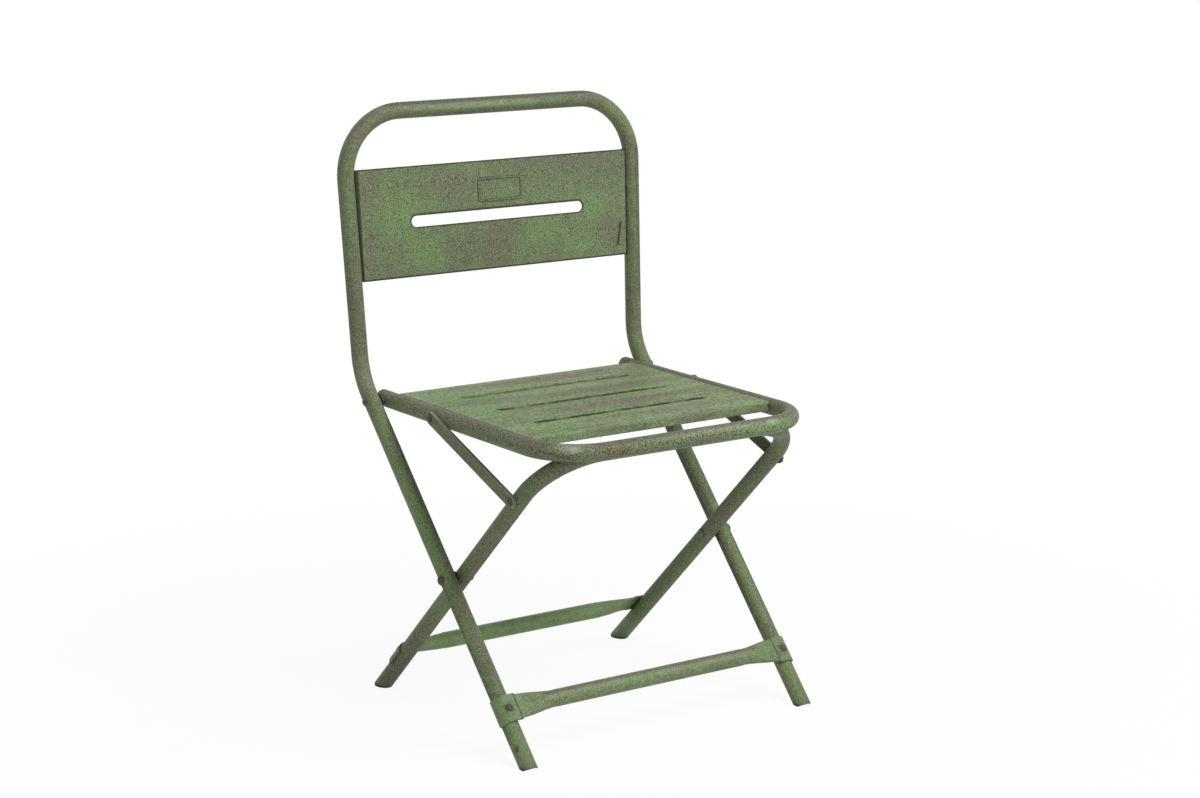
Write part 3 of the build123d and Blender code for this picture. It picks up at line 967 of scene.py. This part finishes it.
class CHAIR_OT_back_panel(bpy.types.Operator):
    """Paints the sheet of the back, with its stains, its dark edges and its scratch, painted shade round its
    slot, and painted shade with grime in the seams along its sides
    """

    bl_idname = "chair.back_panel"
    bl_label = "Paint the back panel"

    def execute(self, context):
        marks = [
            ("patina", 0.75, "stain", (0.110, 0.21, 0.688), (0.140, 0.05, 0.026)),
            ("umber", 0.60, "stain", (0.185, 0.21, 0.590), (0.035, 0.05, 0.040)),
            ("umber", 0.60, "stain", (-0.005, 0.21, 0.582), (0.050, 0.05, 0.030)),
            ("umber", 0.60, "stain", (-0.195, 0.21, 0.670), (0.025, 0.05, 0.040)),
            ("umber", 0.55, "stain", (-0.198, 0.21, 0.600), (0.018, 0.05, 0.040)),
            ("umber", 0.55, "stain", (-0.060, 0.21, 0.660), (0.060, 0.05, 0.034)),
            ("fresh", 0.70, "stain", (-0.150, 0.21, 0.635), (0.045, 0.05, 0.050)),
            ("umber", 0.40, "stain", (-0.158, 0.21, 0.655), (0.010, 0.05, 0.040)),
            ("fresh", 0.65, "stain", (-0.115, 0.21, 0.578), (0.045, 0.05, 0.026)),
            ("fresh", 0.65, "stain", (0.158, 0.21, 0.622), (0.035, 0.05, 0.024)),
            ("fresh", 0.55, "stain", (0.070, 0.21, 0.590), (0.050, 0.05, 0.022)),
            ("fresh", 0.55, "stain", (0.135, 0.21, 0.568), (0.040, 0.05, 0.012)),
            ("grime", 0.95, "scratch", (0.2018, 0.2076, 0.5944), (0.1963, 0.2054, 0.5660), 0.0024, 0.5),
            # Painted shade round the rim of the slot
            ("grime", 0.80, "slot", PANEL_SLOT, UP, PANEL_SLOT_HALF, PANEL_SLOT_RADIUS, 0.0034, 0.0012),
            ("grime", 0.85, "line", UP, 0.6949, 0.0016),
            ("grime", 0.90, "line", DOWN, -0.5516, 0.0016),
            # Painted shade with grime in the seams where the sheet meets the posts
            ("grime", 0.85, "line", (-1.0, 0.0, -0.0077), 0.2058, 0.0016),
            ("grime", 0.85, "line", (1.0, 0.0, -0.02916), 0.1950, 0.0020),
        ]
        material = paint_material(
            "Worn paint, back panel", stain=0.42, chalk=0.22, pits=0.72, scuffs=0.25, marks=marks
        )
        dress(["back_panel"], material)
        return {"FINISHED"}


class CHAIR_OT_seat_plate(bpy.types.Operator):
    """Paints the sheet of the seat, rubbed brown between its dark slots, with a painted highlight on each
    slot's far lip, painted shade with grime round each slot's rim, and painted shade in the gap at the left
    end of the front lip
    """

    bl_idname = "chair.seat_plate"
    bl_label = "Paint the seat plate"

    def execute(self, context):
        marks = [
            ("umber", 0.85, "stain", (0.040, 0.130, SEAT_HEIGHT), (0.190, 0.026, 0.02)),
            ("umber", 0.80, "stain", (0.060, 0.042, SEAT_HEIGHT), (0.170, 0.026, 0.02)),
            ("umber", 0.80, "stain", (0.030, -0.042, SEAT_HEIGHT), (0.170, 0.024, 0.02)),
            ("umber", 0.65, "stain", (0.060, -0.112, SEAT_HEIGHT), (0.150, 0.018, 0.02)),
            ("fresh", 0.70, "stain", (-0.150, 0.110, SEAT_HEIGHT), (0.040, 0.040, 0.02)),
            ("fresh", 0.80, "stain", (-0.145, 0.010, SEAT_HEIGHT), (0.045, 0.050, 0.02)),
            ("fresh", 0.80, "stain", (-0.130, -0.115, SEAT_HEIGHT), (0.060, 0.030, 0.02)),
        ]
        for depth, darkness in SEAT_SLOTS:
            middle = (0.0, depth, SEAT_HEIGHT)
            slot = (middle, BACKWARD, SEAT_SLOT_HALF, SEAT_SLOT_RADIUS, 0.0022, 0.0010, 0.65)
            # A painted highlight on the far lip of each slot, and painted shade with grime round its rim
            marks += [
                ("fresh", 0.75, "stain", (-0.040, depth + 0.0085, 0.404), (0.130, 0.0050, 0.010)),
                ("grime", darkness, "slot", *slot),
            ]
        marks += [
            # Painted shade in the gap at the left end of the front lip
            ("grime", 0.90, "ring", (0.1834, -0.1505, 0.399), (0.004, 0.006, 0.007), 0.4, FINE_RIM),
            ("grime", 0.35, "line", (-1.0, 0.0, 0.0), SEAT_EDGE, 0.0016),
            ("grime", 0.35, "line", (1.0, 0.0, 0.0), SEAT_EDGE, 0.0016),
        ]
        material = paint_material(
            "Worn paint, seat plate",
            stain=0.34,
            chalk=0.62,
            pits=0.62,
            scuffs=0.55,
            tint=shade_of_green(context, 1.40),
            marks=marks,
            edge_strength=0.6,
            gloss=0.03,
            stretch=(0.28, 2.0, 1.0),
            graze=(0.06, 0.9, 0.5),
            grain_stretch=(1.0, 0.30, 1.0),
        )
        dress(["seat_plate"], material)
        return {"FINISHED"}


class CHAIR_OT_rivets(bpy.types.Operator):
    """Gives the rivets and washers their dark, rusty finish"""

    bl_idname = "chair.rivets"
    bl_label = "Finish the rivets"

    def execute(self, context):
        paint = context.scene.chair_paint
        green, grime = Vector(paint.green), Vector(paint.grime)
        soil = [("grime", 0.50, "ring", (0.0, 0.0, 0.4), (3.0, 3.0, 3.0))]
        dark = paint_material(
            "Worn paint, rivets",
            stain=0.60,
            chalk=0.12,
            pits=0.70,
            tint=green.lerp(grime, 0.85),
            marks=soil,
            edge="rust",
            edge_strength=0.35,
        )
        dress([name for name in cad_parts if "rivet" in name and name != PAINTED_RIVET], dark)
        black = paint_material(
            "Grimy washers", stain=0.50, chalk=0.05, pits=0.70, tint=green.lerp(grime, 0.8)
        )
        dress([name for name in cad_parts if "washer" in name], black)
        return {"FINISHED"}


class CHAIR_OT_welds(bpy.types.Operator):
    """Lays short rippled weld beads where the sheets meet the tubes, out of the sitter's sight"""

    bl_idname = "chair.welds"
    bl_label = "Lay the weld beads"

    def execute(self, context):
        paint = context.scene.chair_paint
        material = paint_material(
            "Worn paint, welds",
            stain=0.60,
            chalk=0.15,
            pits=0.70,
            tint=Vector(paint.green).lerp(Vector(paint.umber), 0.5),
        )
        first = self.lay_bead(paint.bead)
        for side, label in ((-1, "right"), (1, "left")):
            for index, along in enumerate(PLATE_WELDS):
                name = f"{label}_plate_weld_{index + 1}"
                spot = (side * PLATE_WELD_SIDE, along, PLATE_WELD_HEIGHT + SEAT_RISE * along)
                self.place_bead(first, name, spot, (0.0, 1.0, SEAT_RISE), "seat", material)
            for index, (across, along, height) in enumerate(PANEL_WELDS):
                name = f"{label}_panel_weld_{index + 1}"
                spot = (side * across, along, height)
                self.place_bead(first, name, spot, (side * POST_TAPER, POST_LEAN, 1.0), "back", material)
        clear_selection()
        first.select_set(True)
        bpy.ops.object.delete()
        return {"FINISHED"}

    @staticmethod
    def lay_bead(size):
        """One bead along Y at the origin: overlapping puddles run together."""
        clear_selection()
        bpy.ops.mesh.primitive_uv_sphere_add(segments=16, ring_count=10, radius=size)
        bead = bpy.context.object
        bpy.ops.object.mode_set(mode="EDIT")
        bpy.ops.mesh.select_all(action="SELECT")
        bpy.ops.transform.resize(value=BEAD_SHAPE)
        bpy.ops.object.mode_set(mode="OBJECT")
        row = bead.modifiers.new("Row", "ARRAY")
        row.count = BEAD_PUDDLES
        row.use_relative_offset = False
        row.use_constant_offset = True
        row.constant_offset_displace = (0.0, BEAD_STEP * size, 0.0)
        melt = bead.modifiers.new("Melt", "REMESH")
        melt.mode = "VOXEL"
        melt.voxel_size = size * BEAD_VOXEL
        melt.use_smooth_shade = True
        ease = bead.modifiers.new("Ease", "SMOOTH")
        ease.factor = 0.5
        ease.iterations = 3
        for modifier in ("Row", "Melt", "Ease"):
            bpy.ops.object.modifier_apply(modifier=modifier)
        bead.location = (0.0, -(BEAD_PUDDLES - 1) * BEAD_STEP * size / 2, 0.0)
        bpy.ops.object.transform_apply(location=True, rotation=False, scale=False)
        return bead

    @staticmethod
    def place_bead(first, name, spot, way, body, material):
        """A copy of the bead with its own mesh, turned along a direction and fixed to a body."""
        clear_selection()
        bead = first.copy()
        bead.data = first.data.copy()
        bead.name = name
        bpy.context.collection.objects.link(bead)
        bead.select_set(True)
        bpy.context.view_layer.objects.active = bead
        bead.rotation_euler = Vector(way).to_track_quat("Y", "Z").to_euler()
        bead.location = spot
        bpy.ops.object.transform_apply(location=True, rotation=True, scale=False)
        bead.data.materials.clear()
        bead.data.materials.append(material)
        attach(bead, body)


class CHAIR_OT_stage(bpy.types.Operator):
    """Sets the floor, the soft light and the camera"""

    bl_idname = "chair.stage"
    bl_label = "Set the stage"

    def execute(self, context):
        stage = context.scene.chair_stage
        self.light_world(context.scene, stage)
        self.lay_floor(stage)
        for name, setting, spot in LIGHTS:
            self.hang_light(name, spot, getattr(stage, setting))
        self.set_camera(context.scene, stage)
        context.scene.view_settings.view_transform = "Standard"
        return {"FINISHED"}

    @staticmethod
    def seen_white(tree):
        """1 for rays that see the backdrop itself, straight or in a reflection."""
        path = tree.nodes.new("ShaderNodeLightPath").outputs
        seen = math_node(tree, "MAXIMUM", path["Is Camera Ray"], path["Is Glossy Ray"])
        return math_node(tree, "MAXIMUM", seen, path["Is Transmission Ray"])

    def light_world(self, scene, stage):
        """A backdrop that looks white and lights the chair less than it looks."""
        world = bpy.data.worlds.new("Studio")
        scene.world = world
        world.use_nodes = True
        tree = world.node_tree
        backdrop = tree.nodes["Background"]
        backdrop.inputs["Color"].default_value = opaque(WHITE)
        lift = math_node(tree, "MULTIPLY", self.seen_white(tree), 1.0 - stage.ambient)
        tree.links.new(math_node(tree, "ADD", lift, stage.ambient), backdrop.inputs["Strength"])

    def lay_floor(self, stage):
        """A floor that glows white away from the chair and keeps a faint shadow near it."""
        clear_selection()
        bpy.ops.mesh.primitive_plane_add(size=FLOOR_SIZE, location=(0.0, 0.0, 0.0))
        floor = bpy.context.object
        floor.name = "floor"
        material = bpy.data.materials.new("Pale floor")
        material.use_nodes = True
        tree = material.node_tree
        matte = tree.nodes["Principled BSDF"]
        matte.inputs["Base Color"].default_value = opaque(stage.floor)
        matte.inputs["Roughness"].default_value = FLOOR_ROUGHNESS
        matte.inputs["Specular IOR Level"].default_value = FLOOR_GLOSS
        glow = put(tree, "ShaderNodeEmission", None, Strength=1.0)
        spot = tree.nodes.new("ShaderNodeTexCoord").outputs["Object"]
        away = vector_node(tree, "LENGTH", spot, result="Value")
        whiter = band(tree, away, low=FLOOR_NEAR, high=FLOOR_FAR, first=FLOOR_GLOW)
        share = math_node(tree, "MULTIPLY", self.seen_white(tree), whiter)
        blend = tree.nodes.new("ShaderNodeMixShader")
        for socket, source in zip(blend.inputs, (share, matte.outputs[0], glow.outputs[0])):
            tree.links.new(source, socket)
        tree.links.new(blend.outputs[0], tree.nodes["Material Output"].inputs["Surface"])
        floor.data.materials.append(material)

    @staticmethod
    def hang_light(name, spot, power):
        """One square light that points at the chair."""
        clear_selection()
        bpy.ops.object.light_add(type="AREA", location=spot)
        lamp = bpy.context.object
        lamp.name = name
        lamp.data.size = LIGHT_SIZE
        lamp.data.energy = power
        aim = Vector(LIGHT_AIM) - Vector(spot)
        lamp.rotation_euler = aim.to_track_quat("-Z", "Y").to_euler()

    @staticmethod
    def set_camera(scene, stage):
        """The camera, by its angles and its distance from the target."""
        clear_selection()
        bpy.ops.object.camera_add()
        camera = bpy.context.object
        camera.name = "camera"
        turn, lift = stage.azimuth, stage.elevation
        back = Vector((math.sin(turn) * math.cos(lift), -math.cos(turn) * math.cos(lift), math.sin(lift)))
        right = Vector((math.cos(turn), math.sin(turn), 0.0))
        up = back.cross(right)
        side = right * math.cos(stage.roll) + up * math.sin(stage.roll)
        top = up * math.cos(stage.roll) - right * math.sin(stage.roll)
        place = Vector(stage.target) + back * stage.distance
        axes = Matrix((side, top, back)).transposed().to_4x4()
        camera.matrix_world = Matrix.Translation(place) @ axes
        camera.data.sensor_fit = "HORIZONTAL"
        camera.data.sensor_width = SENSOR_WIDTH
        camera.data.lens = stage.lens
        scene.camera = camera


PIECES = (
    CHAIR_OT_back_frame,
    CHAIR_OT_seat_frame,
    CHAIR_OT_rear_legs,
    CHAIR_OT_stretchers,
    CHAIR_OT_links,
    CHAIR_OT_back_panel,
    CHAIR_OT_seat_plate,
    CHAIR_OT_rivets,
    CHAIR_OT_welds,
    CHAIR_OT_stage,
)


class CHAIR_PT_panel(bpy.types.Panel):
    """Lists the chair's operators and settings"""

    bl_idname = "CHAIR_PT_panel"
    bl_label = "Folding chair"
    bl_space_type = "VIEW_3D"
    bl_region_type = "UI"
    bl_category = "Chair"

    def draw(self, context):
        column = self.layout.column()
        for settings in (context.scene.chair_paint, context.scene.chair_stage):
            for name in settings.__annotations__:
                column.prop(settings, name)
        for piece in PIECES:
            column.operator(piece.bl_idname)


CLASSES = (PaintSettings, StageSettings, *PIECES, CHAIR_PT_panel)


def register():
    for entry in CLASSES:
        bpy.utils.register_class(entry)
    bpy.types.Scene.chair_paint = PointerProperty(type=PaintSettings)
    bpy.types.Scene.chair_stage = PointerProperty(type=StageSettings)


def unregister():
    del bpy.types.Scene.chair_stage
    del bpy.types.Scene.chair_paint
    for entry in reversed(CLASSES):
        bpy.utils.unregister_class(entry)


def main():
    register()
    for piece in PIECES:
        family, name = piece.bl_idname.split(".")
        getattr(getattr(bpy.ops, family), name)()


if __name__ == "__main__":
    main()
